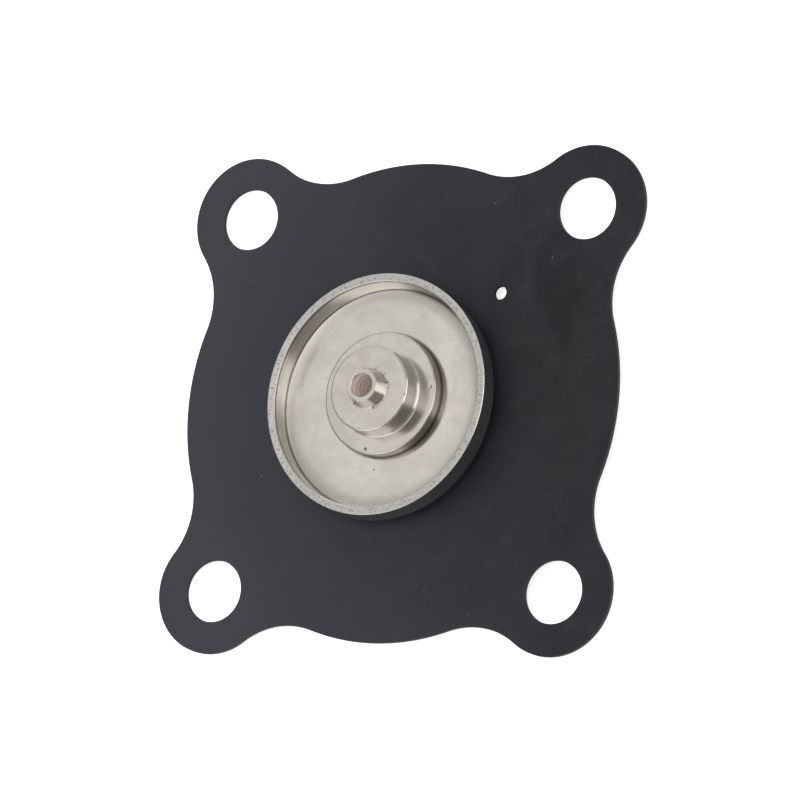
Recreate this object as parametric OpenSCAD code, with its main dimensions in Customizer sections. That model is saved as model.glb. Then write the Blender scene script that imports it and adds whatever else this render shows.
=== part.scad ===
// Diaphragm of a pilot operated solenoid valve: a rubber sheet with four bolt ears,
// a drawn spring cup, a turned nozzle stud riveted through them and a backing washer.
// It lies on its sealing pad: the pad's face is at z = 0 and the spring side looks up.

/* [Rubber sheet] */
// Distance between neighbouring bolt holes
bolt_spacing = 56; // [52:0.5:60]
// Diameter of the four bolt holes
bolt_hole_d = 9.2; // [7:0.1:10]
// Radius of the ears round the bolt holes
ear_r = 9.3; // [8:0.1:11]
// Diameter of the sheet's round middle
body_d = 71; // [66:0.5:76]
// Radius of the hollow curves between the ears and the round middle
ear_fillet_r = 12.2; // [8:0.1:14]
// Thickness of the sheet
sheet_t = 0.8; // [0.6:0.1:1.6]
// Diameter of the equalising hole
bleed_hole_d = 2; // [1:0.1:3]
// Distance of the equalising hole from the middle
bleed_hole_reach = 21.9; // [20:0.1:25]

/* [Rubber centre] */
// Diameter of the pad that lifts the cup off the sheet
lift_pad_d = 27; // [22:0.5:28]
// Height of the lifting pad above the sheet
lift_pad_h = 2.3; // [1.5:0.1:3]
// Diameter of the pad that closes the valve's seat
seal_pad_d = 32; // [28:0.5:34]
// Height of the sealing pad below the sheet
seal_pad_h = 3.2; // [3:0.1:4.5]
// Rubber left between the sheet and the backing washer
washer_bed_t = 0.8; // [0.4:0.1:1]
// Radius of the soft corner at the foot of both pads
pad_foot_r = 0.8; // [0.3:0.1:1]
// Radius of the sealing pad's edges
seal_edge_r = 0.6; // [0.3:0.1:0.9]

/* [Spring cup] */
// Outside diameter of the cup
cup_d = 35.6; // [34:0.1:39]
// Thickness of the sheet metal
cup_t = 1.2; // [0.8:0.1:1.5]
// Depth inside the cup, from the rim to the floor
cup_depth = 3.2; // [2.8:0.1:5]
// Radius of the corner between the floor and the wall, inside
cup_corner_r = 0.4; // [0.3:0.1:2.2]
// Radius of the rim's rounded inner edge
rim_round_r = 0.35; // [0.1:0.05:0.5]
// Edge break on the rim's outer edge
rim_break = 0.1; // [0.05:0.05:0.3]

/* [Nozzle stud] */
// Diameter of the flange that bears on the cup's floor
flange_d = 18.2; // [16:0.1:20]
// Height of the flange
flange_h = 1.9; // [1.2:0.1:3]
// Diameter of the collar above the flange
collar_d = 12.6; // [10:0.1:14]
// Height of the collar
collar_h = 3.4; // [2:0.1:5]
// Diameter of the tapered nozzle at its mouth
nozzle_d = 4.8; // [4.4:0.1:5.6]
// Diameter of the nozzle at its foot
nozzle_foot_d = 5.9; // [5.7:0.1:7]
// Height of the nozzle
nozzle_h = 2.1; // [1.4:0.1:3]
// Diameter of the pilot bore
pilot_bore_d = 3.4; // [2:0.1:3.6]
// Diameter of the stem that goes through the cup and the rubber
stem_d = 8; // [6:0.1:9]
// Radius of the rounded edges of the flange and the collar
step_edge_r = 0.3; // [0.1:0.05:0.5]
// Radius of the hollow corner at the foot of the collar
step_foot_r = 0.35; // [0.1:0.05:0.5]
// Edge break under the flange
flange_break = 0.1; // [0.05:0.05:0.3]
// Chamfer round the nozzle's mouth
nozzle_chamfer = 0.1; // [0.05:0.05:0.3]
// Chamfer at both mouths of the pilot bore
bore_chamfer = 0.1; // [0.05:0.05:0.2]

/* [Backing washer] */
// Outside diameter of the washer
washer_d = 19; // [16:0.5:20]
// Thickness of the washer
washer_t = 1.2; // [0.8:0.1:1.3]
// Radius of the washer's rounded lower edge
washer_edge_r = 0.3; // [0.1:0.05:0.5]
// How far the stem's rolled end spreads past the stem
rivet_spread = 1.4; // [0.8:0.1:2]
// Height of the rolled end
rivet_h = 0.6; // [0.4:0.1:0.7]

/* [Fits] */
// Gap round the stem in the cup, the rubber and the washer
stem_gap = 0.05; // [0.02:0.01:0.2]
// Gap round the washer in its recess
recess_gap = 0.4; // [0.2:0.1:0.8]

/* [Hidden] */
$fn = 96;

// Levels, from the sealing face upwards
sheet_z = seal_pad_h;
sheet_top_z = sheet_z + sheet_t;
cup_z = sheet_top_z + lift_pad_h;
cup_floor_z = cup_z + cup_t;
rim_z = cup_floor_z + cup_depth;
collar_z = cup_floor_z + flange_h;
nozzle_z = collar_z + collar_h;
nozzle_top_z = nozzle_z + nozzle_h;
washer_top_z = sheet_z - washer_bed_t;
washer_z = washer_top_z - washer_t;
rivet_z = washer_z - rivet_h;

stem_hole_r = stem_d / 2 + stem_gap;
recess_r = washer_d / 2 + recess_gap;

// Each hollow curve touches the round middle and an ear, so its centre is the third
// corner of the triangle of the three centres
ear_reach = bolt_spacing / sqrt(2);
fillet_reach = body_d / 2 + ear_fillet_r;
ear_to_fillet = ear_r + ear_fillet_r;
fillet_turn = acos((pow(ear_reach, 2) + pow(fillet_reach, 2) - pow(ear_to_fillet, 2))
                   / (2 * ear_reach * fillet_reach));
fillet_centre = fillet_reach * [cos(fillet_turn), sin(fillet_turn)];
ear_turn = atan2(fillet_centre.y, fillet_centre.x - ear_reach);

// Length of the straight steps that the sheet's outline is cut in
outline_step = 1.2;

// Points along a circle from one angle to another, without the first
function arc(centre, r, from, to) =
    let (steps = ceil(abs(to - from) * PI / 180 * r / outline_step))
        [for (i = [1 : steps])
            let (angle = from + (to - from) * i / steps)
                centre + r * [cos(angle), sin(angle)]];

function turned(point, angle) =
    [point.x * cos(angle) - point.y * sin(angle), point.x * sin(angle) + point.y * cos(angle)];

// A quarter of the outline, with its ear on the X axis: middle, hollow, ear, hollow, middle
quarter_outline = concat(
    arc([0, 0], body_d / 2, -45, -fillet_turn),
    arc([fillet_centre.x, -fillet_centre.y], ear_fillet_r, 180 - fillet_turn, 180 - ear_turn),
    arc([ear_reach, 0], ear_r, -ear_turn, ear_turn),
    arc(fillet_centre, ear_fillet_r, ear_turn - 180, fillet_turn - 180),
    arc([0, 0], body_d / 2, fillet_turn, 45));

module sheet_outline() {
    polygon([for (corner = [0 : 3])
                for (point = quarter_outline)
                    turned(point, 45 + 90 * corner)]);
}

// Turns its children to each of the four ears
module at_ears() {
    for (corner = [0 : 3])
        rotate(45 + 90 * corner)
            children();
}

// Half section of a disc that stands on z, with its upper edge rounded
module step_profile(r, z, h, edge_r) {
    translate([0, z]) {
        square([r, h - edge_r]);
        square([r - edge_r, h]);
        translate([r - edge_r, h - edge_r])
            intersection() {
                circle(r = edge_r);
                square(edge_r);
            }
    }
}

// The same disc with its lower edge rounded, as it hangs from z + h
module hanging_step_profile(r, z, h, edge_r) {
    translate([0, 2 * z + h])
        mirror([0, 1])
            step_profile(r, z, h, edge_r);
}

// Hollow corner at the foot of a disc that stands on z
module foot_profile(r, z, foot_r) {
    translate([r, z])
        difference() {
            square(foot_r);
            translate([foot_r, foot_r]) circle(r = foot_r);
        }
}

// The same corner under z, round a disc that hangs from it
module hanging_foot_profile(r, z, foot_r) {
    translate([0, 2 * z])
        mirror([0, 1])
            foot_profile(r, z, foot_r);
}

// Diamond that cuts an edge break at the corner [r, z]
module edge_break_profile(r, z, size) {
    translate([r, z])
        rotate(45)
            square(size * sqrt(2), center = true);
}

// Cuts a hole's upper edge at [r, z] round
module round_edge_profile(r, z, edge_r) {
    difference() {
        translate([r - edge_r, z - edge_r]) square(2 * edge_r);
        translate([r + edge_r, z - edge_r]) circle(r = edge_r);
    }
}

// Half section of the lifting pad, the sealing pad and the sheet between them
module rubber_centre_profile() {
    translate([0, sheet_z]) square([lift_pad_d / 2, cup_z - sheet_z]);
    foot_profile(lift_pad_d / 2, sheet_top_z, pad_foot_r);
    hanging_step_profile(seal_pad_d / 2, 0, seal_pad_h, seal_edge_r);
    hanging_foot_profile(seal_pad_d / 2, sheet_z, pad_foot_r);
}

// Half section of the washer's recess, widened by a round lip at the sealing face
module recess_profile() {
    square([recess_r, washer_top_z]);
    difference() {
        square([recess_r + seal_edge_r, seal_edge_r]);
        translate([recess_r + seal_edge_r, seal_edge_r]) circle(r = seal_edge_r);
    }
}

module diaphragm() {
    color([0.25, 0.25, 0.27])
        difference() {
            union() {
                translate([0, 0, sheet_z])
                    linear_extrude(sheet_t)
                        sheet_outline();
                rotate_extrude() rubber_centre_profile();
            }
            rotate_extrude() recess_profile();
            translate([0, 0, -1]) cylinder(r = stem_hole_r, h = cup_z + 2);
            at_ears()
                translate([ear_reach, 0, sheet_z - 1])
                    cylinder(d = bolt_hole_d, h = sheet_t + 2);
            rotate(45)
                translate([bleed_hole_reach, 0, sheet_z - 1])
                    cylinder(d = bleed_hole_d, h = sheet_t + 2);
        }
}

// Drawn from flat sheet, so the wall, the floor and the corner have one thickness
module spring_cup() {
    cup_r = cup_d / 2;
    bore_r = cup_r - cup_t;
    cut_h = cup_depth + 1;
    color([0.77, 0.75, 0.72])
        rotate_extrude()
            difference() {
                hanging_step_profile(cup_r, cup_z, cup_t + cup_depth, cup_corner_r + cup_t);
                hanging_step_profile(bore_r, cup_floor_z, cut_h, cup_corner_r);
                translate([0, cup_z - 1]) square([stem_hole_r, cup_t + 2]);
                edge_break_profile(cup_r, rim_z, rim_break);
                round_edge_profile(bore_r, rim_z, rim_round_r);
            }
}

// Turned from one bar: flange, collar, tapered nozzle and stem, drilled through, with
// the stem's end rolled over the washer
module nozzle_stud() {
    bore_r = pilot_bore_d / 2;
    color([0.80, 0.78, 0.75])
        rotate_extrude()
            difference() {
                union() {
                    step_profile(flange_d / 2, cup_floor_z, flange_h, step_edge_r);
                    foot_profile(collar_d / 2, collar_z, step_foot_r);
                    step_profile(collar_d / 2, collar_z, collar_h, step_edge_r);
                    translate([0, nozzle_z])
                        polygon([[0, 0], [nozzle_foot_d / 2, 0],
                                 [nozzle_d / 2, nozzle_h], [0, nozzle_h]]);
                    translate([0, washer_z]) square([stem_d / 2, cup_floor_z - washer_z]);
                    hanging_step_profile(stem_d / 2 + rivet_spread, rivet_z, rivet_h, rivet_h / 2);
                }
                translate([0, rivet_z - 1]) square([bore_r, nozzle_top_z - rivet_z + 2]);
                edge_break_profile(bore_r, nozzle_top_z, bore_chamfer);
                edge_break_profile(bore_r, rivet_z, bore_chamfer);
                edge_break_profile(nozzle_d / 2, nozzle_top_z, nozzle_chamfer);
                edge_break_profile(flange_d / 2, cup_floor_z, flange_break);
            }
}

module backing_washer() {
    color([0.70, 0.70, 0.69])
        difference() {
            rotate_extrude()
                hanging_step_profile(washer_d / 2, washer_z, washer_t, washer_edge_r);
            translate([0, 0, washer_z - 1]) cylinder(r = stem_hole_r, h = washer_t + 2);
        }
}

diaphragm();
spring_cup();
nozzle_stud();
backing_washer();
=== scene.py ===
# Diaphragm of a pilot operated solenoid valve, dressed for its portrait: a black rubber
# sheet with four ears, a nickel plated spring cup, a turned stud and a backing washer.
import math

import bmesh
import bpy
from mathutils import Matrix, Quaternion, Vector


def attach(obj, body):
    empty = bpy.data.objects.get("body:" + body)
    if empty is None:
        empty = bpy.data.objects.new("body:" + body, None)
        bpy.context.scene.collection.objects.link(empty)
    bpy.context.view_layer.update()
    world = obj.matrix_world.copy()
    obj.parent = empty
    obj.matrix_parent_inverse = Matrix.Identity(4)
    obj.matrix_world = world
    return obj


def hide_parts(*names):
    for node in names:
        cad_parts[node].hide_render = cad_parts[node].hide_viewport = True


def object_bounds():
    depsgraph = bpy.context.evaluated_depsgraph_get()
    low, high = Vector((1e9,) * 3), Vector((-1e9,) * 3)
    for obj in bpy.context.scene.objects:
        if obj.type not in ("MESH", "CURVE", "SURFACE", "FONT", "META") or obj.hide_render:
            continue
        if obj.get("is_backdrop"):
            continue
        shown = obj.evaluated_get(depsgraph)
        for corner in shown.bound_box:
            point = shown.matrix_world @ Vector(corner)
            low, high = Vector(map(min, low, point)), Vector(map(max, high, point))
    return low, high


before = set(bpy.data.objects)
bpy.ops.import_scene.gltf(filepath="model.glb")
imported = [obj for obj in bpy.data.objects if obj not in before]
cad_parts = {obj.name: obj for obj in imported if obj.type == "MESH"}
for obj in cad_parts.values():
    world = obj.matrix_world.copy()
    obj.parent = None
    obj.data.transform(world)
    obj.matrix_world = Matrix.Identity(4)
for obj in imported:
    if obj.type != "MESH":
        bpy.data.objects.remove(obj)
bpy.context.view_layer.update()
bpy.ops.object.select_all(action="DESELECT")


# RUBBER DIAPHRAGM
# One moulding of black rubber: a thin sheet with four bolt ears and a bleed hole, a pad
# that lifts the cup, and a thick sealing pad with a recess below. The outline is die cut.

mm = 0.001
middle_r = 35.5 * mm
ear_r = 9.3 * mm
hollow_r = 12.2 * mm
ear_reach = 28 * math.sqrt(2) * mm
bolt_hole_r = 4.6 * mm
bleed_hole_r = 1.0 * mm
bleed_hole_reach = 21.9 * mm
bleed_hole_turn = 46.1
sheet_low = 3.2 * mm
sheet_high = 4.0 * mm
cut_edge = 0.07 * mm
lift_pad_foot_r = 14.3 * mm
seal_pad_foot_r = 16.8 * mm
sheet_middle_r = 19 * mm
rings = 192


def start_point(name, place):
    """Adds a mesh of one point, for an outline that is drawn on from there."""
    bpy.ops.mesh.primitive_plane_add(size=mm)
    piece = bpy.context.object
    piece.name = name
    bpy.ops.object.mode_set(mode="EDIT")
    bpy.ops.mesh.select_mode(type="VERT")
    bpy.ops.mesh.merge(type="CENTER")
    bpy.ops.transform.translate(value=place)
    return piece


def choose(piece, kind, wanted):
    """Selects only the points, edges or faces that are wanted."""
    bpy.ops.mesh.select_mode(type=kind)
    bpy.ops.mesh.select_all(action="DESELECT")
    form = bmesh.from_edit_mesh(piece.data)
    for part in {"VERT": form.verts, "EDGE": form.edges, "FACE": form.faces}[kind]:
        if wanted(part):
            part.select_set(True)
    form.select_flush_mode()
    bmesh.update_edit_mesh(piece.data)


def reach(point):
    """Distance of a point from the part's axis."""
    return math.hypot(point.x, point.y)


def draw_arc(centre, radius, degrees):
    """Carries the outline on along an arc, anticlockwise where the degrees are positive."""
    steps = max(4, round(abs(math.radians(degrees)) * radius / (0.5 * mm)))
    bpy.ops.mesh.spin(steps=steps, angle=math.radians(-degrees), center=centre, axis=(0, 0, 1))


def around(degrees, radius, height=0.0):
    """A point at that angle and distance round the axis."""
    angle = math.radians(degrees)
    return Vector((radius * math.cos(angle), radius * math.sin(angle), height))


# Each hollow curve touches the round middle and an ear, as the three circles' centres say
hollow_reach = middle_r + hollow_r
hollow_turn = math.degrees(math.acos(
    (ear_reach**2 + hollow_reach**2 - (ear_r + hollow_r) ** 2) / (2 * ear_reach * hollow_reach)))
hollow_centre = around(hollow_turn, hollow_reach)
ear_turn = math.degrees(math.atan2(hollow_centre.y, hollow_centre.x - ear_reach))

level = sheet_low + cut_edge
diaphragm = start_point("rubber_diaphragm", around(0, middle_r, level))
for ear in (45, 135, 225, 315):
    draw_arc((0, 0, level), middle_r, 45 - hollow_turn)
    draw_arc(around(ear - hollow_turn, hollow_reach, level), hollow_r, -(ear_turn - hollow_turn))
    draw_arc(around(ear, ear_reach, level), ear_r, 2 * ear_turn)
    draw_arc(around(ear + hollow_turn, hollow_reach, level), hollow_r, -(ear_turn - hollow_turn))
    draw_arc((0, 0, level), middle_r, 45 - hollow_turn)
bpy.ops.mesh.select_all(action="SELECT")
bpy.ops.mesh.remove_doubles(threshold=0.002 * mm)
for ear in (45, 135, 225, 315):
    bpy.ops.mesh.primitive_circle_add(
        vertices=72, radius=bolt_hole_r, location=around(ear, ear_reach, level))
bpy.ops.mesh.primitive_circle_add(
    vertices=32, radius=bleed_hole_r, location=around(bleed_hole_turn, bleed_hole_reach, level))
bpy.ops.mesh.primitive_circle_add(vertices=rings, radius=sheet_middle_r, location=(0, 0, level))
bpy.ops.mesh.select_all(action="SELECT")
bpy.ops.mesh.fill(use_beauty=True)

# The middle is closed for now, so that the cut edge is only broken round the outline and holes
choose(diaphragm, "EDGE", lambda edge: all(
    abs(reach(point.co) - sheet_middle_r) < 0.01 * mm for point in edge.verts))
for narrower in (seal_pad_foot_r / sheet_middle_r, lift_pad_foot_r / seal_pad_foot_r):
    bpy.ops.mesh.extrude_region_move()
    bpy.ops.transform.resize(value=(narrower, narrower, 1), center_override=(0, 0, level))
bpy.ops.mesh.edge_face_add()
bpy.ops.mesh.select_all(action="SELECT")
bpy.ops.mesh.extrude_region_move(
    TRANSFORM_OT_translate={"value": (0, 0, sheet_high - sheet_low - 2 * cut_edge)})
bpy.ops.mesh.select_all(action="SELECT")
bpy.ops.mesh.normals_make_consistent(inside=False)
for side in (1, -1):
    choose(diaphragm, "FACE", lambda face: face.normal.z * side > 0.9)
    bpy.ops.mesh.inset(thickness=0.3 * cut_edge, depth=0.7 * cut_edge)
    bpy.ops.mesh.inset(thickness=0.7 * cut_edge, depth=0.3 * cut_edge)
choose(diaphragm, "FACE", lambda face: reach(face.calc_center_median()) < lift_pad_foot_r
       or face.normal.z < -0.9 and reach(face.calc_center_median()) < seal_pad_foot_r)
bpy.ops.mesh.delete(type="FACE")

# A grid of cuts lets the sheet lie a little uneven, as rubber of this size does
for direction in ((1, 0, 0), (0, 1, 0)):
    for step in range(-9, 10):
        choose(diaphragm, "FACE", lambda face:
               reach(face.calc_center_median()) > sheet_middle_r * 1.001)
        bpy.ops.mesh.bisect(plane_co=Vector(direction) * (step * 4 + 1.3) * mm, plane_no=direction)

# The pads and the recess are turned round the axis from the sheet's top to its underside
def draw_on(corners):
    """Carries the half section on from its last point through these corners, in mm."""
    for here, there in zip(corners, corners[1:]):
        bpy.ops.mesh.extrude_region_move(TRANSFORM_OT_translate={
            "value": ((there[0] - here[0]) * mm, 0, (there[1] - here[1]) * mm)})


def round_corner(piece, corner, radius, steps):
    """Rounds a corner of the half section, all three in mm."""
    place = Vector((corner[0] * mm, 0, corner[1] * mm))
    choose(piece, "VERT", lambda point: (point.co - place).length < 0.005 * mm)
    bpy.ops.mesh.bevel(offset=radius * mm, segments=steps, affect="VERTICES")


def turn_round(piece):
    """Spins the half section into a closed ring whose faces point outwards."""
    bpy.ops.mesh.select_all(action="SELECT")
    bpy.ops.mesh.spin(steps=rings, angle=math.tau, center=(0, 0, 0), axis=(0, 0, 1))
    bpy.ops.mesh.select_all(action="SELECT")
    bpy.ops.mesh.remove_doubles(threshold=0.002 * mm)
    bpy.ops.mesh.normals_make_consistent(inside=False)


def finish_mesh(piece, edge_degrees):
    """Leaves edit mode and shades the mesh smooth, with the flat faces kept flat."""
    bpy.ops.object.mode_set(mode="OBJECT")
    bpy.ops.object.shade_smooth_by_angle(angle=math.radians(edge_degrees))
    even = piece.modifiers.new("even_normals", "WEIGHTED_NORMAL")
    even.weight = 90
    even.thresh = 1
    even.keep_sharp = True
    # The faces' areas only count on a mesh that is far larger than this one
    piece.data.transform(Matrix.Scale(1e4, 4))
    bpy.ops.object.modifier_apply(modifier=even.name)
    piece.data.transform(Matrix.Scale(1e-4, 4))
    bpy.ops.object.select_all(action="DESELECT")


bpy.ops.object.mode_set(mode="OBJECT")
bpy.ops.object.select_all(action="DESELECT")
pad_corners = [(14.3, 4.0), (13.5, 4.0), (13.5, 6.3), (4.05, 6.3), (4.05, 2.4), (9.9, 2.4),
               (9.9, 0.0), (16.0, 0.0), (16.0, 3.2), (16.8, 3.2)]
pads = start_point("pads", (pad_corners[0][0] * mm, 0, pad_corners[0][1] * mm))
draw_on(pad_corners)
for corner, radius in (((13.5, 4.0), 0.8), ((9.9, 0.0), 0.6), ((16.0, 0.0), 0.6), ((16.0, 3.2), 0.8)):
    round_corner(pads, corner, radius, 7)
turn_round(pads)
bpy.ops.object.mode_set(mode="OBJECT")
diaphragm.select_set(True)
bpy.context.view_layer.objects.active = diaphragm
bpy.ops.object.join()
bpy.ops.object.mode_set(mode="EDIT")
bpy.ops.mesh.select_all(action="SELECT")
bpy.ops.mesh.remove_doubles(threshold=0.002 * mm)
bpy.ops.mesh.normals_make_consistent(inside=False)
bpy.ops.object.mode_set(mode="OBJECT")

loose = diaphragm.vertex_groups.new(name="loose_sheet")
for point in diaphragm.data.vertices:
    share = min(1.0, max(0.0, (reach(point.co) - sheet_middle_r) / (8 * mm)))
    if share > 0:
        loose.add([point.index], share * share, "REPLACE")
swell = bpy.data.textures.new("swell", "CLOUDS")
swell.noise_scale = 0.028
swell.noise_depth = 1
uneven = diaphragm.modifiers.new("uneven", "DISPLACE")
uneven.texture = swell
uneven.texture_coords = "LOCAL"
uneven.direction = "Z"
uneven.mid_level = 0.5
uneven.strength = 0.5 * mm
uneven.vertex_group = "loose_sheet"
bpy.ops.object.modifier_apply(modifier=uneven.name)
finish_mesh(diaphragm, 40)


def new_group(name, inputs, outputs):
    """Starts a shader node group. Each input is a name with its value, each output a name."""
    group = bpy.data.node_groups.new(name, "ShaderNodeTree")
    for label, value in inputs:
        kind = "NodeSocketVector" if value is None else "NodeSocketFloat"
        socket = group.interface.new_socket(name=label, in_out="INPUT", socket_type=kind)
        if value is not None:
            socket.default_value = value
    for label in outputs:
        group.interface.new_socket(name=label, in_out="OUTPUT", socket_type="NodeSocketFloat")
    return group, group.nodes.new("NodeGroupInput").outputs, group.nodes.new("NodeGroupOutput").inputs


def put(tree, kind, values=(), **settings):
    """Adds a node with these settings. Values go on its sockets, and a socket is linked."""
    node = tree.nodes.new(kind)
    for name, value in settings.items():
        setattr(node, name, value)
    for name, value in dict(values).items():
        if isinstance(value, bpy.types.NodeSocket):
            tree.links.new(value, node.inputs[name])
        else:
            node.inputs[name].default_value = value
    return node


def sum_of(tree, operation, first, second=0.0, third=0.0, clamp=False):
    """One step of arithmetic."""
    node = put(tree, "ShaderNodeMath", {0: first, 1: second, 2: third},
               operation=operation, use_clamp=clamp)
    return node.outputs[0]


def ramp(tree, value, low, high, to_low=0.0, to_high=1.0, smooth=True):
    """Carries a value from one range to another."""
    kind = "SMOOTHSTEP" if smooth else "LINEAR"
    node = put(tree, "ShaderNodeMapRange", {
        "Value": value, "From Min": low, "From Max": high, "To Min": to_low, "To Max": to_high},
        interpolation_type=kind)
    return node.outputs["Result"]


def blend(tree, share, first, second):
    """Mixes two colours."""
    node = tree.nodes.new("ShaderNodeMix")
    node.data_type = "RGBA"
    for socket, value in ((node.inputs[0], share), (node.inputs[6], first), (node.inputs[7], second)):
        if isinstance(value, bpy.types.NodeSocket):
            tree.links.new(value, socket)
        else:
            socket.default_value = value
    return node.outputs[2]


def new_material(name, **values):
    """A material with its shader, whose plain values are set on the shader's own sockets."""
    material = bpy.data.materials.new(name)
    material.use_nodes = True
    tree = material.node_tree
    shader = tree.nodes["Principled BSDF"]
    for label, value in values.items():
        shader.inputs[label.replace("_", " ")].default_value = value
    place = tree.nodes.new("ShaderNodeTexCoord").outputs["Object"]
    return material, tree, shader, place


# Soft blotches, as damp, grease and fingers leave them
blotches, given, out = new_group("blotches", [("Place", None), ("Size", 8.0), ("Cover", 0.5)], ["Mask"])
stretch = put(blotches, "ShaderNodeVectorMath", {0: given["Place"]}, operation="SCALE")
blotches.links.new(sum_of(blotches, "DIVIDE", 1000.0, given["Size"]), stretch.inputs["Scale"])
cloud = put(blotches, "ShaderNodeTexNoise", {
    "Vector": stretch.outputs[0], "Scale": 1.0, "Detail": 5.0, "Roughness": 0.62, "Distortion": 0.6})
low = sum_of(blotches, "SUBTRACT", 0.78, given["Cover"])
high = sum_of(blotches, "ADD", low, 0.28)
blotches.links.new(ramp(blotches, cloud.outputs["Fac"], low, high), out["Mask"])

# Tiny grains stuck to a surface or missing from it
specks, given, out = new_group("specks", [("Place", None), ("Spacing", 3.0), ("Size", 0.1)], ["Mask"])
stretch = put(specks, "ShaderNodeVectorMath", {0: given["Place"]}, operation="SCALE")
specks.links.new(sum_of(specks, "DIVIDE", 1000.0, given["Spacing"]), stretch.inputs["Scale"])
cells = put(specks, "ShaderNodeTexVoronoi", {"Vector": stretch.outputs[0], "Scale": 1.0})
share = put(specks, "ShaderNodeSeparateColor", {"Color": cells.outputs["Color"]})
widest = sum_of(specks, "DIVIDE", given["Size"], given["Spacing"])
width = sum_of(specks, "MULTIPLY", share.outputs[0], widest)
inner = sum_of(specks, "MULTIPLY", width, 0.6)
specks.links.new(ramp(specks, cells.outputs["Distance"], width, inner), out["Mask"])

rubber, tree, shader, place = new_material("black_rubber", IOR=1.4)
mottle = put(tree, "ShaderNodeGroup", {"Place": place, "Size": 9.0, "Cover": 0.45}, node_tree=blotches)
dust = put(tree, "ShaderNodeGroup", {"Place": place, "Size": 2.4, "Cover": 0.3}, node_tree=blotches)
lint = put(tree, "ShaderNodeGroup", {"Place": place, "Spacing": 5.0, "Size": 0.35}, node_tree=specks)
grain = put(tree, "ShaderNodeTexNoise", {"Vector": place, "Scale": 3200.0, "Detail": 3.0, "Roughness": 0.6})
facing = tree.nodes.new("ShaderNodeNewGeometry").outputs["True Normal"]
facing = put(tree, "ShaderNodeSeparateXYZ", {"Vector": facing})
upright = sum_of(tree, "ABSOLUTE", facing.outputs["Z"])
cut = ramp(tree, upright, 0.75, 0.25)
where = put(tree, "ShaderNodeSeparateXYZ", {"Vector": place})
across = sum_of(tree, "ADD", where.outputs["X"], sum_of(tree, "MULTIPLY", where.outputs["Y"], 0.08))
# Painted light: the rubber is coloured lighter towards the left and out at the ears, standing in for the fall
# of the lamps' light across the sheet
painted_light_falloff = ramp(tree, across, 28 * mm, -36 * mm, smooth=False)
ears = put(tree, "ShaderNodeVectorMath", {0: place}, operation="LENGTH").outputs["Value"]
painted_light_falloff = sum_of(tree, "ADD", painted_light_falloff, ramp(tree, ears, 28 * mm, 42 * mm, 0, 0.16))
colour = blend(tree, painted_light_falloff, (0.0080, 0.0085, 0.0120, 1), (0.0400, 0.0420, 0.0545, 1))
colour = blend(tree, sum_of(tree, "MULTIPLY", mottle.outputs["Mask"], 0.16), colour, (0.052, 0.053, 0.060, 1))
colour = blend(tree, sum_of(tree, "MULTIPLY", dust.outputs["Mask"], 0.2), colour, (0.050, 0.052, 0.055, 1))
colour = blend(tree, sum_of(tree, "MULTIPLY", lint.outputs["Mask"], 0.3), colour, (0.20, 0.20, 0.21, 1))
colour = blend(tree, sum_of(tree, "MULTIPLY", cut, 0.6), colour, (0.050, 0.050, 0.053, 1))
tree.links.new(colour, shader.inputs["Base Color"])
dull = sum_of(tree, "ADD", ramp(tree, mottle.outputs["Mask"], 0, 1, 0.46, 0.54),
              sum_of(tree, "MULTIPLY", cut, 0.18))
tree.links.new(dull, shader.inputs["Roughness"])
height = sum_of(tree, "ADD", sum_of(tree, "MULTIPLY", grain.outputs["Fac"], ramp(tree, cut, 0, 1, 1.0, 4.0)),
                sum_of(tree, "MULTIPLY", lint.outputs["Mask"], 1.5))
bump = put(tree, "ShaderNodeBump", {"Height": height, "Strength": 0.35, "Distance": 0.02 * mm})
tree.links.new(bump.outputs["Normal"], shader.inputs["Normal"])
diaphragm.data.materials.append(rubber)
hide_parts("diaphragm")
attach(diaphragm, "root")


# SPRING CUP
# A shallow cup drawn from steel sheet and nickel plated, open upwards. The valve's spring
# stands in it. Its rim is a sheared edge, faced bright. The stud clamps it on the pad.

def turned_piece(name, corners, rounds):
    """A closed ring, turned from its half section. Corners and rounds are in mm."""
    piece = start_point(name, (corners[0][0] * mm, 0, corners[0][1] * mm))
    draw_on(corners)
    ends = {(round(corner[0], 2), round(corner[1], 2)) for corner in (corners[0], corners[-1])}
    choose(piece, "VERT", lambda point: (round(point.co.x / mm, 2), round(point.co.z / mm, 2)) in ends)
    bpy.ops.mesh.edge_face_add()
    for corner, radius, steps in rounds:
        round_corner(piece, corner, radius, steps)
    turn_round(piece)
    return piece


# The cup sits a third of a millimetre off the stud's axis, in the slack of its hole
cup_shift = Vector((-0.14, -0.33, 0)) * mm
cup = turned_piece(
    "spring_cup_shell",
    [(4.55, 6.3), (17.8, 6.3), (17.8, 10.7), (16.6, 10.7), (16.34, 7.75), (15.0, 7.5), (4.55, 7.5)],
    [((17.8, 6.3), 1.6, 12), ((16.34, 7.75), 0.12, 4), ((15.0, 7.5), 1.0, 10),
     ((17.8, 10.7), 0.1, 3), ((16.6, 10.7), 0.2, 5)])
bpy.ops.mesh.select_all(action="SELECT")
bpy.ops.transform.translate(value=cup_shift)
# Its wall leans a little, so the floor lies slightly further over than the rim
floor_shift = Vector((-0.08, -0.26, 0)) * mm
choose(cup, "VERT", lambda point: point.co.z < 9 * mm)
bpy.ops.transform.translate(value=floor_shift)
finish_mesh(cup, 30)

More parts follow.
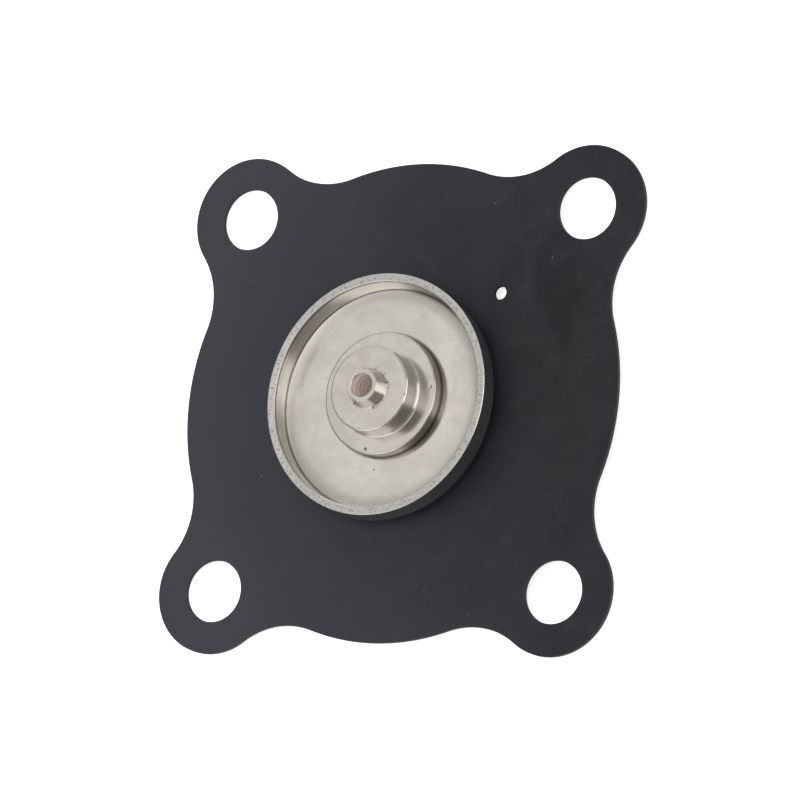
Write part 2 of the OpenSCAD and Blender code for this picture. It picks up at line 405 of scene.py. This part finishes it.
# Fine lines left by handling, in two crossing directions
scratches, given, out = new_group("scratches", [("Place", None), ("Length", 3.0), ("Amount", 0.5)], ["Mask"])
lines = []
for turn in (0.5, 1.9):
    along = put(scratches, "ShaderNodeMapping", {
        "Vector": given["Place"], "Rotation": (0.2, 0.1, turn), "Scale": (1000, 28000, 1000)})
    sized = put(scratches, "ShaderNodeVectorMath", {0: along.outputs[0]}, operation="SCALE")
    scratches.links.new(sum_of(scratches, "DIVIDE", 1.0, given["Length"]), sized.inputs["Scale"])
    streak = put(scratches, "ShaderNodeTexNoise", {"Vector": sized.outputs[0], "Scale": 1.0, "Detail": 2.0})
    least = sum_of(scratches, "SUBTRACT", 0.86, sum_of(scratches, "MULTIPLY", given["Amount"], 0.3))
    lines.append(ramp(scratches, streak.outputs["Fac"], least, sum_of(scratches, "ADD", least, 0.06)))
scratches.links.new(sum_of(scratches, "MAXIMUM", lines[0], lines[1]), out["Mask"])

# Share of a ring round the axis, such as a rounded edge or a rim
near_ring, given, out = new_group(
    "near_ring", [("Place", None), ("Radius", 1.0), ("Height", 0.0), ("Width", 1.0)], ["Mask"])
parts = put(near_ring, "ShaderNodeSeparateXYZ", {"Vector": given["Place"]})
flat = put(near_ring, "ShaderNodeCombineXYZ", {"X": parts.outputs["X"], "Y": parts.outputs["Y"]})
spread = put(near_ring, "ShaderNodeVectorMath", {0: flat.outputs[0]}, operation="LENGTH")
outwards = sum_of(near_ring, "MULTIPLY", spread.outputs["Value"], 1000)
outwards = sum_of(near_ring, "SUBTRACT", outwards, given["Radius"])
upwards = sum_of(near_ring, "MULTIPLY", parts.outputs["Z"], 1000)
upwards = sum_of(near_ring, "SUBTRACT", upwards, given["Height"])
gap = sum_of(near_ring, "SQRT", sum_of(
    near_ring, "ADD", sum_of(near_ring, "POWER", outwards, 2), sum_of(near_ring, "POWER", upwards, 2)))
near_ring.links.new(ramp(near_ring, gap, given["Width"], 0.0), out["Mask"])

# A mark at a set place, such as a dent or a darker patch. Its middle and width are in mm
mark_at, given, out = new_group("mark_at", [("Place", None), ("Middle", None), ("Width", 1.0)], ["Mask"])
sized = put(mark_at, "ShaderNodeVectorMath", {0: given["Place"], "Scale": 1000.0}, operation="SCALE")
wander = put(mark_at, "ShaderNodeTexNoise", {"Vector": sized.outputs[0], "Scale": 1.6, "Detail": 3.0})
offset = put(mark_at, "ShaderNodeVectorMath", {0: sized.outputs[0], 1: given["Middle"]}, operation="DISTANCE")
ragged = sum_of(mark_at, "MULTIPLY", given["Width"], ramp(mark_at, wander.outputs["Fac"], 0.3, 0.7, 0.6, 1.4))
mark_at.links.new(ramp(mark_at, offset.outputs["Value"], ragged, sum_of(mark_at, "MULTIPLY", ragged, 0.3)),
                  out["Mask"])

nickel, tree, shader, place = new_material("nickel_cup", Metallic=1.0)
spot = place
place = put(tree, "ShaderNodeVectorMath", {0: spot, 1: cup_shift}, operation="SUBTRACT").outputs[0]
stain = put(tree, "ShaderNodeGroup", {"Place": place, "Size": 7.0, "Cover": 0.42}, node_tree=blotches)
film = put(tree, "ShaderNodeGroup", {"Place": place, "Size": 2.0, "Cover": 0.35}, node_tree=blotches)
pits = put(tree, "ShaderNodeGroup", {"Place": place, "Spacing": 3.2, "Size": 0.3}, node_tree=specks)
lines = put(tree, "ShaderNodeGroup", {"Place": place, "Length": 3.0, "Amount": 0.6}, node_tree=scratches)
rim = put(tree, "ShaderNodeGroup", {"Place": place, "Radius": 17.2, "Height": 10.8, "Width": 1.1},
          node_tree=near_ring)
parts = put(tree, "ShaderNodeSeparateXYZ", {"Vector": place})
flat = put(tree, "ShaderNodeCombineXYZ", {"X": parts.outputs["X"], "Y": parts.outputs["Y"]})
spread = put(tree, "ShaderNodeVectorMath", {0: flat.outputs[0]}, operation="LENGTH").outputs["Value"]
# Ring for a painted contact shade round the foot of the stud's flange, partly dirt
foot = put(tree, "ShaderNodeGroup", {"Place": spot, "Radius": 9.12, "Height": 7.5, "Width": 0.45},
           node_tree=near_ring)
leaned = put(tree, "ShaderNodeVectorMath", {0: place, 1: floor_shift}, operation="SUBTRACT").outputs[0]
corner = put(tree, "ShaderNodeGroup", {"Place": leaned, "Radius": 16.28, "Height": 7.78, "Width": 0.22},
             node_tree=near_ring)
rim_inner_dark_line = put(tree, "ShaderNodeGroup", {"Place": place, "Radius": 16.6, "Height": 10.44, "Width": 0.27},
           node_tree=near_ring)
speckle = put(tree, "ShaderNodeTexNoise", {"Vector": place, "Scale": 3600.0, "Detail": 2.0, "Roughness": 0.5})
speckled = sum_of(tree, "MULTIPLY", ramp(tree, speckle.outputs["Fac"], 0.50, 0.64), rim.outputs["Mask"])
floor_arc_spot = put(tree, "ShaderNodeGroup", {"Place": place, "Middle": (-13.4, 4.8, 7.5), "Width": 5.0},
             node_tree=mark_at)
inset = put(tree, "ShaderNodeGroup", {"Place": place, "Radius": 14.4, "Height": 7.5, "Width": 0.8},
            node_tree=near_ring)
darker_floor_arc = sum_of(tree, "MULTIPLY", floor_arc_spot.outputs["Mask"], inset.outputs["Mask"])
# Painted shade: a dark wedge on the far side of the cup's inner wall, standing in for the shade and dark
# reflection seen there
far_corner = Vector((7.6, 14.6, 9.0)) * mm
wedge_reach = put(tree, "ShaderNodeVectorMath", {0: place, 1: far_corner}, operation="DISTANCE").outputs["Value"]
wall = put(tree, "ShaderNodeGroup", {"Place": place, "Radius": 16.4, "Height": 9.1, "Width": 1.9},
           node_tree=near_ring)
painted_wedge_shade = sum_of(tree, "MULTIPLY", ramp(tree, wedge_reach, 6.6 * mm, 3.2 * mm),
                 ramp(tree, wall.outputs["Mask"], 0.0, 0.15))
painted_wedge_shade = sum_of(tree, "MULTIPLY", painted_wedge_shade, ramp(tree, spread, 17.0 * mm, 16.8 * mm))
grit = put(tree, "ShaderNodeTexNoise", {"Vector": place, "Scale": 2600.0, "Detail": 4.0, "Roughness": 0.65})
colour = blend(tree, sum_of(tree, "MULTIPLY", stain.outputs["Mask"], 0.8),
               (0.83, 0.80, 0.76, 1), (0.76, 0.725, 0.68, 1))
colour = blend(tree, sum_of(tree, "MULTIPLY", film.outputs["Mask"], 0.6), colour, (0.75, 0.725, 0.70, 1))
# The rim's faced metal is lighter than the plating, and it is also painted lighter towards the left: a
# painted highlight
bare_rim_and_painted_highlight = blend(tree, ramp(tree, parts.outputs["X"], -9 * mm, -16 * mm),
             (0.80, 0.795, 0.78, 1), (0.95, 0.95, 0.94, 1))
colour = blend(tree, sum_of(tree, "MULTIPLY", rim.outputs["Mask"], 0.9), colour, bare_rim_and_painted_highlight)
# Painted contact shade, partly dirt: a dark line where the stud's flange meets the cup's floor
colour = blend(tree, sum_of(tree, "MULTIPLY", foot.outputs["Mask"], 0.8), colour, (0.16, 0.13, 0.11, 1))
# Painted shade, partly dirt: a dark line round the corner where the cup's wall meets its floor
colour = blend(tree, sum_of(tree, "MULTIPLY", corner.outputs["Mask"], 0.85), colour, (0.17, 0.15, 0.13, 1))
# The painted shade of the dark wedge on the wall
colour = blend(tree, sum_of(tree, "MULTIPLY", painted_wedge_shade, 0.72), colour, (0.20, 0.185, 0.17, 1))
# A dark line painted round the inner edge of the rim
colour = blend(tree, sum_of(tree, "MULTIPLY", rim_inner_dark_line.outputs["Mask"], 0.9), colour, (0.13, 0.12, 0.11, 1))
colour = blend(tree, sum_of(tree, "MULTIPLY", speckled, 0.62), colour, (0.33, 0.32, 0.31, 1))
# Darkens an arc of the floor just inside the wall's foot on the left
colour = blend(tree, sum_of(tree, "MULTIPLY", darker_floor_arc, 0.5), colour, (0.46, 0.44, 0.42, 1))
colour = blend(tree, sum_of(tree, "MULTIPLY", pits.outputs["Mask"], 0.6), colour, (0.20, 0.17, 0.14, 1))
tree.links.new(colour, shader.inputs["Base Color"])
facing = tree.nodes.new("ShaderNodeNewGeometry").outputs["Normal"]
facing = put(tree, "ShaderNodeSeparateXYZ", {"Vector": facing})
level_share = ramp(tree, sum_of(tree, "ABSOLUTE", facing.outputs["Z"]), 0.5, 0.95)
satin = ramp(tree, level_share, 0, 1, 0.07, 0.19, smooth=False)
satin = sum_of(tree, "ADD", satin, sum_of(tree, "MULTIPLY", stain.outputs["Mask"], 0.03))
satin = sum_of(tree, "ADD", satin, sum_of(tree, "MULTIPLY", rim.outputs["Mask"], 0.14))
dulled = sum_of(tree, "MULTIPLY", ramp(tree, spread, 12.0 * mm, 15.5 * mm, 0, 0.06), level_share)
satin = sum_of(tree, "ADD", satin, dulled)
tree.links.new(satin, shader.inputs["Roughness"])
gritty = sum_of(tree, "MULTIPLY", grit.outputs["Fac"], ramp(tree, rim.outputs["Mask"], 0, 1, 0.4, 2.6))
handled = sum_of(tree, "MULTIPLY", lines.outputs["Mask"], level_share)
height = sum_of(tree, "ADD", gritty, sum_of(tree, "MULTIPLY", handled, -0.6))
height = sum_of(tree, "SUBTRACT", height, sum_of(tree, "MULTIPLY", pits.outputs["Mask"], 1.2))
bump = put(tree, "ShaderNodeBump", {"Height": height, "Strength": 0.25, "Distance": 0.01 * mm})
tree.links.new(bump.outputs["Normal"], shader.inputs["Normal"])
cup.data.materials.append(nickel)
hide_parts("spring_cup")
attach(cup, "root")


# NOZZLE STUD
# Turned from one bar and nickel plated: a flange on the cup's floor, a collar, the pilot
# nozzle and a stem through the rubber. It is drilled through, and its end is rolled over.

stud = turned_piece(
    "nozzle_stud_turned",
    [(1.7, 0.6), (5.4, 0.6), (5.4, 1.2), (4.0, 1.2), (4.0, 7.5), (9.1, 7.5), (9.1, 9.4),
     (6.3, 9.4), (6.3, 12.8), (2.95, 12.8), (2.4, 14.9), (1.7, 14.9)],
    [((1.7, 0.6), 0.1, 1), ((5.4, 0.6), 0.3, 6), ((9.1, 7.5), 0.1, 1), ((9.1, 9.4), 0.3, 6),
     ((6.3, 9.4), 0.35, 6), ((6.3, 12.8), 0.3, 6), ((2.95, 12.8), 0.08, 3), ((2.4, 14.9), 0.1, 4),
     ((1.7, 14.9), 0.1, 3)])
finish_mesh(stud, 30)

# Fine rings that the turning tool leaves, on the flats by radius and on the walls by height
tool_rings, given, out = new_group("tool_rings", [("Place", None), ("Pitch", 0.1)], ["Height"])
parts = put(tool_rings, "ShaderNodeSeparateXYZ", {"Vector": given["Place"]})
flat = put(tool_rings, "ShaderNodeCombineXYZ", {"X": parts.outputs["X"], "Y": parts.outputs["Y"]})
spread = put(tool_rings, "ShaderNodeVectorMath", {0: flat.outputs[0]}, operation="LENGTH")
path = sum_of(tool_rings, "ADD", spread.outputs["Value"], parts.outputs["Z"])
path = sum_of(tool_rings, "DIVIDE", sum_of(tool_rings, "MULTIPLY", path, 1000), given["Pitch"])
rings_noise = put(tool_rings, "ShaderNodeTexNoise", {"W": path, "Scale": 1.0, "Detail": 3.0},
                  noise_dimensions="1D")
tool_rings.links.new(rings_noise.outputs["Fac"], out["Height"])

turned_nickel, tree, shader, place = new_material("nickel_stud", Metallic=1.0)
stain = put(tree, "ShaderNodeGroup", {"Place": place, "Size": 4.0, "Cover": 0.4}, node_tree=blotches)
pits = put(tree, "ShaderNodeGroup", {"Place": place, "Spacing": 5.0, "Size": 0.26}, node_tree=specks)
marks = put(tree, "ShaderNodeGroup", {"Place": place, "Pitch": 0.09}, node_tree=tool_rings)
lines = put(tree, "ShaderNodeGroup", {"Place": place, "Length": 1.6, "Amount": 0.55}, node_tree=scratches)
dents = 0.0
for middle, width in (((-1.55, -8.2, 9.4), 0.30), ((5.95, -0.95, 12.75), 0.24), ((8.42, 0.86, 9.4), 0.20),
                      ((8.25, 0.62, 9.4), 0.20), ((8.08, 0.38, 9.4), 0.17)):
    dent = put(tree, "ShaderNodeGroup", {"Place": place, "Middle": middle, "Width": width}, node_tree=mark_at)
    dents = sum_of(tree, "MAXIMUM", dent.outputs["Mask"], dents)
crust = put(tree, "ShaderNodeGroup", {"Place": place, "Spacing": 0.9, "Size": 0.34}, node_tree=specks)
collar_edge = put(tree, "ShaderNodeGroup", {"Place": place, "Radius": 6.15, "Height": 12.7, "Width": 0.5},
                  node_tree=near_ring)
parts = put(tree, "ShaderNodeSeparateXYZ", {"Vector": place})
flat = put(tree, "ShaderNodeCombineXYZ", {"X": parts.outputs["X"], "Y": parts.outputs["Y"]})
spread = put(tree, "ShaderNodeVectorMath", {0: flat.outputs[0]}, operation="LENGTH").outputs["Value"]
far_side = ramp(tree, parts.outputs["X"], 2 * mm, -4 * mm)
crusted = sum_of(tree, "MULTIPLY", sum_of(tree, "MULTIPLY", crust.outputs["Mask"], far_side),
                 ramp(tree, collar_edge.outputs["Mask"], 0.0, 0.5))
foot = put(tree, "ShaderNodeGroup", {"Place": place, "Radius": 3.1, "Height": 12.85, "Width": 0.34},
           node_tree=near_ring)
mouth = put(tree, "ShaderNodeGroup", {"Place": place, "Radius": 1.75, "Height": 14.9, "Width": 0.26},
            node_tree=near_ring)
grime = put(tree, "ShaderNodeTexNoise", {"Vector": place, "Scale": 1500.0, "Detail": 3.0, "Roughness": 0.6})
ringed = sum_of(tree, "MAXIMUM", foot.outputs["Mask"],
                sum_of(tree, "MULTIPLY", mouth.outputs["Mask"],
                       ramp(tree, parts.outputs["X"], 0.6 * mm, -0.8 * mm)))
grimy = sum_of(tree, "MULTIPLY", ringed, ramp(tree, grime.outputs["Fac"], 0.52, 0.62))
bore = sum_of(tree, "MULTIPLY", ramp(tree, spread, 1.78 * mm, 1.72 * mm),
              ramp(tree, parts.outputs["Z"], 14.9 * mm, 14.6 * mm))
# Painted shade: the flange's outer wall is coloured darker all round, standing in for the shade and dark
# reflections it shows
flange_wall_painted_shade = ramp(tree, spread, 8.95 * mm, 9.08 * mm)
colour = blend(tree, sum_of(tree, "MULTIPLY", stain.outputs["Mask"], 0.8),
               (0.765, 0.735, 0.69, 1), (0.68, 0.64, 0.59, 1))
colour = blend(tree, sum_of(tree, "MULTIPLY", pits.outputs["Mask"], 0.7), colour, (0.16, 0.13, 0.11, 1))
colour = blend(tree, sum_of(tree, "MULTIPLY", flange_wall_painted_shade, 0.8), colour, (0.38, 0.34, 0.30, 1))
colour = blend(tree, sum_of(tree, "MULTIPLY", crusted, 0.6), colour, (0.40, 0.35, 0.29, 1))
colour = blend(tree, sum_of(tree, "MULTIPLY", grimy, 0.75), colour, (0.07, 0.055, 0.045, 1))
colour = blend(tree, sum_of(tree, "MULTIPLY", dents, 0.85), colour, (0.07, 0.06, 0.05, 1))
drilled = put(tree, "ShaderNodeGroup", {"Place": place, "Pitch": 0.42}, node_tree=tool_rings)
bore_rust = blend(tree, ramp(tree, drilled.outputs["Height"], 0.40, 0.58),
                  (0.60, 0.51, 0.46, 1), (1.0, 0.91, 0.84, 1))
bore_rust = blend(tree, ramp(tree, parts.outputs["Z"], 13.9 * mm, 14.7 * mm, 0.0, 0.35), bore_rust,
                  (0.16, 0.11, 0.09, 1))
colour = blend(tree, bore, colour, bore_rust)
tree.links.new(ramp(tree, bore, 0, 1, 1.0, 0.0), shader.inputs["Metallic"])
tree.links.new(colour, shader.inputs["Base Color"])
facing = tree.nodes.new("ShaderNodeNewGeometry").outputs["Normal"]
facing = put(tree, "ShaderNodeSeparateXYZ", {"Vector": facing})
level_share = ramp(tree, sum_of(tree, "ABSOLUTE", facing.outputs["Z"]), 0.5, 0.95)
gloss = ramp(tree, level_share, 0, 1, 0.05, 0.19, smooth=False)
gloss = sum_of(tree, "ADD", gloss, sum_of(tree, "MULTIPLY", stain.outputs["Mask"], 0.02))
gloss = sum_of(tree, "ADD", gloss, sum_of(tree, "MULTIPLY", bore, 0.4))
tree.links.new(gloss, shader.inputs["Roughness"])
handled = sum_of(tree, "MULTIPLY", lines.outputs["Mask"], level_share)
height = sum_of(tree, "ADD", sum_of(tree, "MULTIPLY", marks.outputs["Height"], 0.5),
                sum_of(tree, "MULTIPLY", handled, -0.5))
height = sum_of(tree, "SUBTRACT", height, sum_of(tree, "MAXIMUM", pits.outputs["Mask"], dents))
height = sum_of(tree, "ADD", height, crusted)
bump = put(tree, "ShaderNodeBump", {"Height": height, "Strength": 0.2, "Distance": 0.006 * mm})
tree.links.new(bump.outputs["Normal"], shader.inputs["Normal"])
stud.data.materials.append(turned_nickel)
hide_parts("nozzle_stud")
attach(stud, "root")


# BACKING WASHER
# A plain steel washer pressed from sheet, let into the sealing pad's recess. The stud's
# rolled end holds it, and with it the rubber and the cup.

washer = turned_piece(
    "backing_washer_steel",
    [(4.05, 1.2), (9.5, 1.2), (9.5, 2.4), (4.05, 2.4)],
    [((9.5, 1.2), 0.3, 6), ((4.05, 1.2), 0.1, 2), ((9.5, 2.4), 0.08, 2)])
finish_mesh(washer, 30)

steel, tree, shader, place = new_material("washer_steel", Metallic=1.0)
stain = put(tree, "ShaderNodeGroup", {"Place": place, "Size": 4.5, "Cover": 0.45}, node_tree=blotches)
lines = put(tree, "ShaderNodeGroup", {"Place": place, "Length": 4.0, "Amount": 0.75}, node_tree=scratches)
rim = put(tree, "ShaderNodeGroup", {"Place": place, "Radius": 9.45, "Height": 1.25, "Width": 0.5},
          node_tree=near_ring)
grit = put(tree, "ShaderNodeTexNoise", {"Vector": place, "Scale": 2200.0, "Detail": 4.0, "Roughness": 0.6})
colour = blend(tree, sum_of(tree, "MULTIPLY", stain.outputs["Mask"], 0.8),
               (0.56, 0.55, 0.53, 1), (0.42, 0.39, 0.36, 1))
colour = blend(tree, sum_of(tree, "MULTIPLY", rim.outputs["Mask"], 0.6), colour, (0.68, 0.67, 0.66, 1))
tree.links.new(colour, shader.inputs["Base Color"])
tree.links.new(ramp(tree, stain.outputs["Mask"], 0, 1, 0.30, 0.44), shader.inputs["Roughness"])
height = sum_of(tree, "ADD", sum_of(tree, "MULTIPLY", grit.outputs["Fac"], 0.8),
                sum_of(tree, "MULTIPLY", lines.outputs["Mask"], -0.8))
bump = put(tree, "ShaderNodeBump", {"Height": height, "Strength": 0.25, "Distance": 0.01 * mm})
tree.links.new(bump.outputs["Normal"], shader.inputs["Normal"])
washer.data.materials.append(steel)
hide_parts("backing_washer")
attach(washer, "root")


# FLOOR
# A plain white table top under the part, which rests on its sealing pad.

bpy.ops.mesh.primitive_plane_add(size=6, location=(0, 0, 0))
table = bpy.context.object
table.name = "white_table"
table_white = bpy.data.materials.new("table_white")
table_white.use_nodes = True
tree = table_white.node_tree
tree.nodes["Principled BSDF"].inputs["Base Color"].default_value = (0.86, 0.86, 0.86, 1)
tree.nodes["Principled BSDF"].inputs["Roughness"].default_value = 0.7
glow = put(tree, "ShaderNodeEmission", {"Color": (1, 1, 1, 1), "Strength": 0.75})
by_camera = tree.nodes.new("ShaderNodeLightPath").outputs["Is Camera Ray"]
seen = put(tree, "ShaderNodeMath", {0: by_camera, 1: 1.0}, operation="MULTIPLY")
lit = put(tree, "ShaderNodeAddShader", {0: tree.nodes["Principled BSDF"].outputs[0], 1: glow.outputs[0]})
both = put(tree, "ShaderNodeMixShader", {0: seen.outputs[0]})
tree.links.new(tree.nodes["Principled BSDF"].outputs[0], both.inputs[1])
tree.links.new(lit.outputs[0], both.inputs[2])
tree.links.new(both.outputs[0], tree.nodes["Material Output"].inputs["Surface"])
table.data.materials.append(table_white)
table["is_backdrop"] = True
bpy.ops.object.select_all(action="DESELECT")


# STUDIO
# A soft lamp close by on the left and a small one high on the camera's side, in a room with
# a wide bright wall on the left and behind, a bright window on the near right, and a darker
# near side.

lamp = bpy.data.lights.new("left_softbox", "AREA")
lamp.shape = "SQUARE"
lamp.size = 0.30
lamp.energy = 0.30
lamp.color = (0.97, 0.98, 1.0)
softbox = bpy.data.objects.new("left_softbox", lamp)
softbox.location = (-0.34, -0.10, 0.34)
softbox.visible_glossy = False
softbox.rotation_mode = "QUATERNION"
softbox.rotation_quaternion = (-softbox.location).to_track_quat("-Z", "Y")
bpy.context.scene.collection.objects.link(softbox)

lamp = bpy.data.lights.new("top_softbox", "AREA")
lamp.shape = "SQUARE"
lamp.size = 0.15
lamp.energy = 0.85
lamp.color = (0.98, 0.98, 1.0)
top_softbox = bpy.data.objects.new("top_softbox", lamp)
top_softbox.location = (0.159, -0.064, 0.470)
top_softbox.visible_glossy = False
top_softbox.rotation_mode = "QUATERNION"
top_softbox.rotation_quaternion = (-top_softbox.location).to_track_quat("-Z", "Y")
bpy.context.scene.collection.objects.link(top_softbox)

room = bpy.data.worlds.new("grey_room")
bpy.context.scene.world = room
room.use_nodes = True
tree = room.node_tree
background = tree.nodes["Background"]
towards = tree.nodes.new("ShaderNodeTexCoord").outputs["Generated"]
towards = put(tree, "ShaderNodeSeparateXYZ", {"Vector": towards})
bearing = sum_of(tree, "ARCTAN2", towards.outputs["Y"], towards.outputs["X"])
bearing = sum_of(tree, "ADD", sum_of(tree, "DEGREES", bearing), 98.0)
bearing = sum_of(tree, "DIVIDE", sum_of(tree, "WRAP", bearing, 360.0, 0.0), 360.0)


def around_room(stops):
    """Brightness round the room, by the bearing in degrees from the middle of the dark side's edge."""
    band = put(tree, "ShaderNodeValToRGB", {"Fac": bearing})
    points = band.color_ramp.elements
    while len(points) < len(stops):
        points.new(0.5)
    for point, (degrees, level) in zip(points, stops):
        point.position = degrees / 360
        point.color = (level, 0.985 * level, 0.96 * level, 1)
    return band.outputs["Color"]


low_band = around_room([(0, 1.2), (6, 1.1), (11, 0.33), (74, 0.33), (82, 2.0), (125, 1.8), (131, 0.46),
                        (182, 0.5), (192, 0.9), (244, 0.9), (252, 0.38), (318, 0.38), (326, 1.2), (360, 1.2)])
middle_band = around_room([(0, 0.95), (12, 0.9), (20, 0.27), (74, 0.27), (82, 1.2), (100, 1.1), (122, 0.7),
                           (131, 0.44), (182, 0.5), (192, 0.78), (232, 0.74), (246, 0.28), (270, 0.28),
                           (300, 0.38), (308, 0.66), (336, 0.9), (360, 0.95)])
high_band = around_room([(0, 0.40), (2, 0.21), (40, 0.15), (74, 0.16), (82, 0.84), (98, 0.78), (106, 0.62),
                         (124, 0.60), (130, 0.43), (160, 0.33), (200, 0.34), (240, 0.36), (248, 0.84),
                         (266, 0.84), (273, 0.44), (290, 0.44), (298, 0.80), (340, 0.90), (354, 0.85),
                         (360, 0.40)])
grey = blend(tree, ramp(tree, towards.outputs["Z"], 0.42, 0.56), low_band, middle_band)
grey = blend(tree, ramp(tree, towards.outputs["Z"], 0.72, 0.83), grey, high_band)
grey = blend(tree, ramp(tree, towards.outputs["Z"], 0.92, 0.98), grey, (1.0, 0.985, 0.96, 1))
seen = tree.nodes.new("ShaderNodeLightPath").outputs["Is Camera Ray"]
tree.links.new(blend(tree, seen, grey, (0.9, 0.9, 0.9, 1)), background.inputs["Color"])

camera = bpy.data.objects.new("camera", bpy.data.cameras.new("camera"))
bpy.context.scene.collection.objects.link(camera)
bpy.context.scene.camera = camera
camera.data.lens = 248.46
camera.data.sensor_width = 36
camera.location = (0.3891, -0.1546, 0.6852)
camera.rotation_mode = "QUATERNION"
aim = Vector((0.00033, 0.00017, 0.0040))
camera.rotation_quaternion = (aim - camera.location).to_track_quat("-Z", "Y") @ Quaternion(
    (0, 0, 1), math.radians(-65.9))
bpy.context.scene.view_settings.view_transform = "Standard"

low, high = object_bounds()
